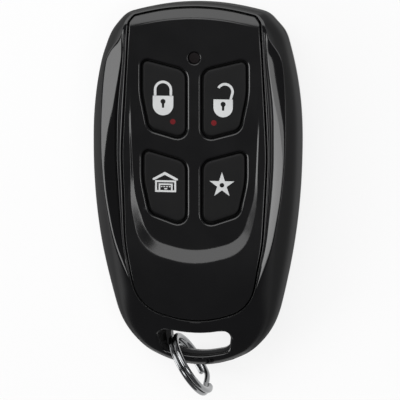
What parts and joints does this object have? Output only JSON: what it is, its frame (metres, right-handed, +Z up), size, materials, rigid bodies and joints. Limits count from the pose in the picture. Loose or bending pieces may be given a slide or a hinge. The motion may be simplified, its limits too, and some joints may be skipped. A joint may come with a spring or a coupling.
{
  "type": "alarm key fob",
  "caption": "Handheld alarm key fob: glossy case, dished satin fascia with recessed lock, unlock, garage and star keys, an indicator window, and a split ring through the slot in its tail.",
  "frame": {"origin": "middle of the flat back, on the table that the fob lies on", "axes": "+X across the face to the right, +Y towards the top end away from the ring, +Z up out of the key face"},
  "size_m": [0.038, 0.0728, 0.0128],
  "materials": {
    "gloss_housing": "polished black moulding",
    "rear_shell": "fine textured black moulding",
    "satin_fascia": "satin black moulding",
    "silicone": "matt dark grey silicone rubber",
    "plunger_plastic": "plain white moulding",
    "dome_metal": "bright plated spring metal",
    "switch_plastic": "plain dark grey moulding",
    "board_laminate": "green solder mask on glass-fibre board",
    "led_resin": "milky clear resin",
    "tinted_lens": "dark red tinted polish",
    "chip_resin": "matt moulded epoxy",
    "plated_steel": "nickel plated",
    "chip_ceramic": "tan ceramic",
    "copper_trace": "bare copper foil",
    "spring_steel": "tinned spring steel",
    "chrome_wire": "bright plated spring wire",
    "white_print": "screen-printed light grey ink",
    "red_print": "screen-printed dark red ink"
  },
  "bodies": {
    "case": {"front_housing": "gloss_housing", "rear_housing": "rear_shell", "fascia": "satin_fascia", "keypad_mat": "silicone", "lock_dome": "dome_metal", "unlock_dome": "dome_metal", "garage_dome": "dome_metal", "star_dome": "dome_metal", "switch_bases": "switch_plastic", "circuit_board": "board_laminate", "indicator_led": "led_resin", "light_pipe": "tinted_lens", "transmitter_chip": "chip_resin", "timing_crystal": "plated_steel", "chip_passives": "chip_ceramic", "antenna_loop": "copper_trace", "coin_cell": "plated_steel", "positive_clip": "spring_steel", "negative_contact": "spring_steel", "case_screw": "plated_steel"},
    "lock_button": {"lock_key": "silicone", "lock_plunger": "plunger_plastic"},
    "unlock_button": {"unlock_key": "silicone", "unlock_plunger": "plunger_plastic"},
    "garage_button": {"garage_key": "silicone", "garage_plunger": "plunger_plastic"},
    "star_button": {"star_key": "silicone", "star_plunger": "plunger_plastic"},
    "ring": {"split_ring": "chrome_wire"}
  },
  "joints": [
    {"name": "lock_press", "type": "slide", "parent": "case", "child": "lock_button", "axis": [0, 0, -1], "range_m": [0, 0.0004], "stiffness_N_per_m": 2500, "deforming": ["lock_dome"]},
    {"name": "unlock_press", "type": "slide", "parent": "case", "child": "unlock_button", "axis": [0, 0, -1], "range_m": [0, 0.0004], "stiffness_N_per_m": 2500, "deforming": ["unlock_dome"]},
    {"name": "garage_press", "type": "slide", "parent": "case", "child": "garage_button", "axis": [0, 0, -1], "range_m": [0, 0.0004], "stiffness_N_per_m": 2500, "deforming": ["garage_dome"]},
    {"name": "star_press", "type": "slide", "parent": "case", "child": "star_button", "axis": [0, 0, -1], "range_m": [0, 0.0004], "stiffness_N_per_m": 2500, "deforming": ["star_dome"]},
    {"name": "ring_swing", "type": "hinge", "parent": "case", "child": "ring", "pos_m": [-0.00185, -0.03255, 0.00645], "axis": [0, 0, 1], "range_deg": [-64, 0]}
  ]
}
